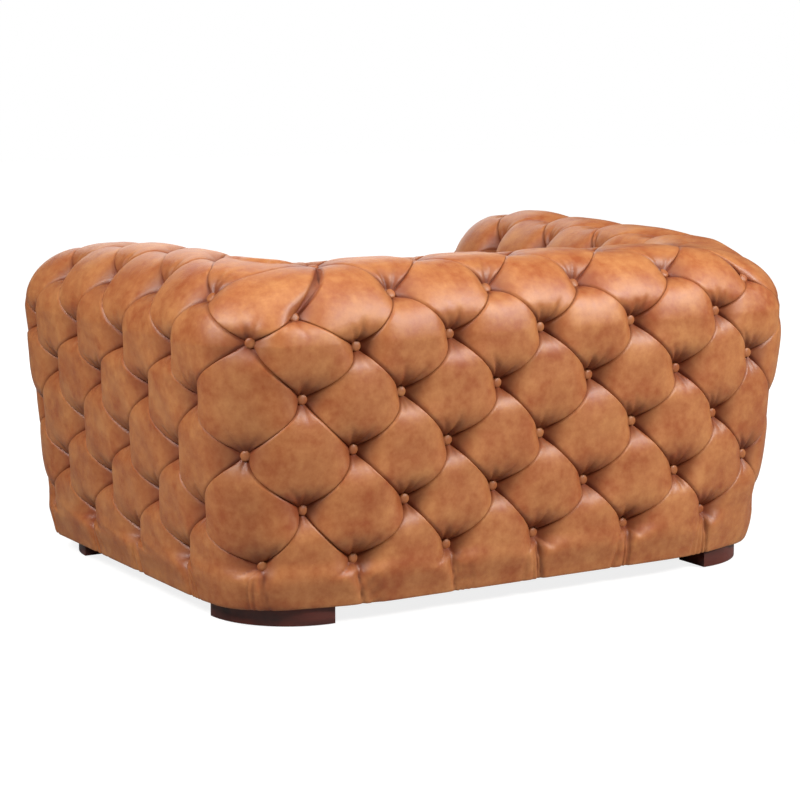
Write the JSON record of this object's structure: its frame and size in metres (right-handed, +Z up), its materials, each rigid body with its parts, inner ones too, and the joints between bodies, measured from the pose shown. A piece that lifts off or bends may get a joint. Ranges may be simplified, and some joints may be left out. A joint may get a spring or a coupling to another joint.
{
  "type": "lounge chair",
  "caption": "Wide deep-buttoned leather lounge chair: rolled arms and back of one height in a U round a fixed tufted seat, on four low quarter-round feet.",
  "frame": {"origin": "on the floor, under the middle of the chair's box", "axes": "+Z up, the chair faces -Y with its back at +Y, +X to the sitter's left"},
  "size_m": [1.44, 1.09, 0.707],
  "materials": {
    "leather": "satin",
    "button_leather": "satin",
    "mahogany": "satin",
    "nylon": "matte",
    "steel": "satin",
    "black_cambric": "matte",
    "grey_felt": "matte",
    "foam": "matte",
    "webbing": "matte",
    "plywood": "matte",
    "timber": "matte"
  },
  "bodies": {
    "root": {"foot_rear_left": "mahogany", "foot_rear_right": "mahogany", "foot_front_left": "mahogany", "foot_front_right": "mahogany", "foot_glides": "nylon", "foot_screws": "steel", "base_board_left": "timber", "base_board_right": "timber", "base_board_rear": "timber", "base_board_front": "timber", "corner_blocks": "timber", "dust_cover": "black_cambric", "dust_cover_staples": "steel", "seat_board_front": "plywood", "seat_board_rear": "plywood", "seat_board_left": "plywood", "seat_board_right": "plywood", "seat_brace": "plywood", "seat_springs": "steel", "spring_clips": "steel", "spring_ties": "steel", "seat_felt": "grey_felt", "seat_foam": "foam", "seat_upholstery": "leather", "seat_buttons": "button_leather", "front_border": "leather", "front_border_buttons": "button_leather", "left_arm_front_post": "timber", "left_arm_middle_post": "timber", "left_arm_rear_post": "timber", "left_arm_top_rail": "timber", "left_arm_outside_panel": "plywood", "left_arm_inside_panel": "plywood", "left_arm_upholstery": "leather", "left_arm_buttons": "button_leather", "right_arm_front_post": "timber", "right_arm_middle_post": "timber", "right_arm_rear_post": "timber", "right_arm_top_rail": "timber", "right_arm_outside_panel": "plywood", "right_arm_inside_panel": "plywood", "right_arm_upholstery": "leather", "right_arm_buttons": "button_leather", "back_left_post": "timber", "back_right_post": "timber", "back_bottom_rail": "timber", "back_stiles": "timber", "back_top_rail": "timber", "back_outside_panel": "plywood", "back_webbing": "webbing", "back_upholstery": "leather", "back_buttons": "button_leather", "frame_bolts": "steel", "frame_washers": "steel", "frame_nuts": "steel"}
  },
  "joints": []
}
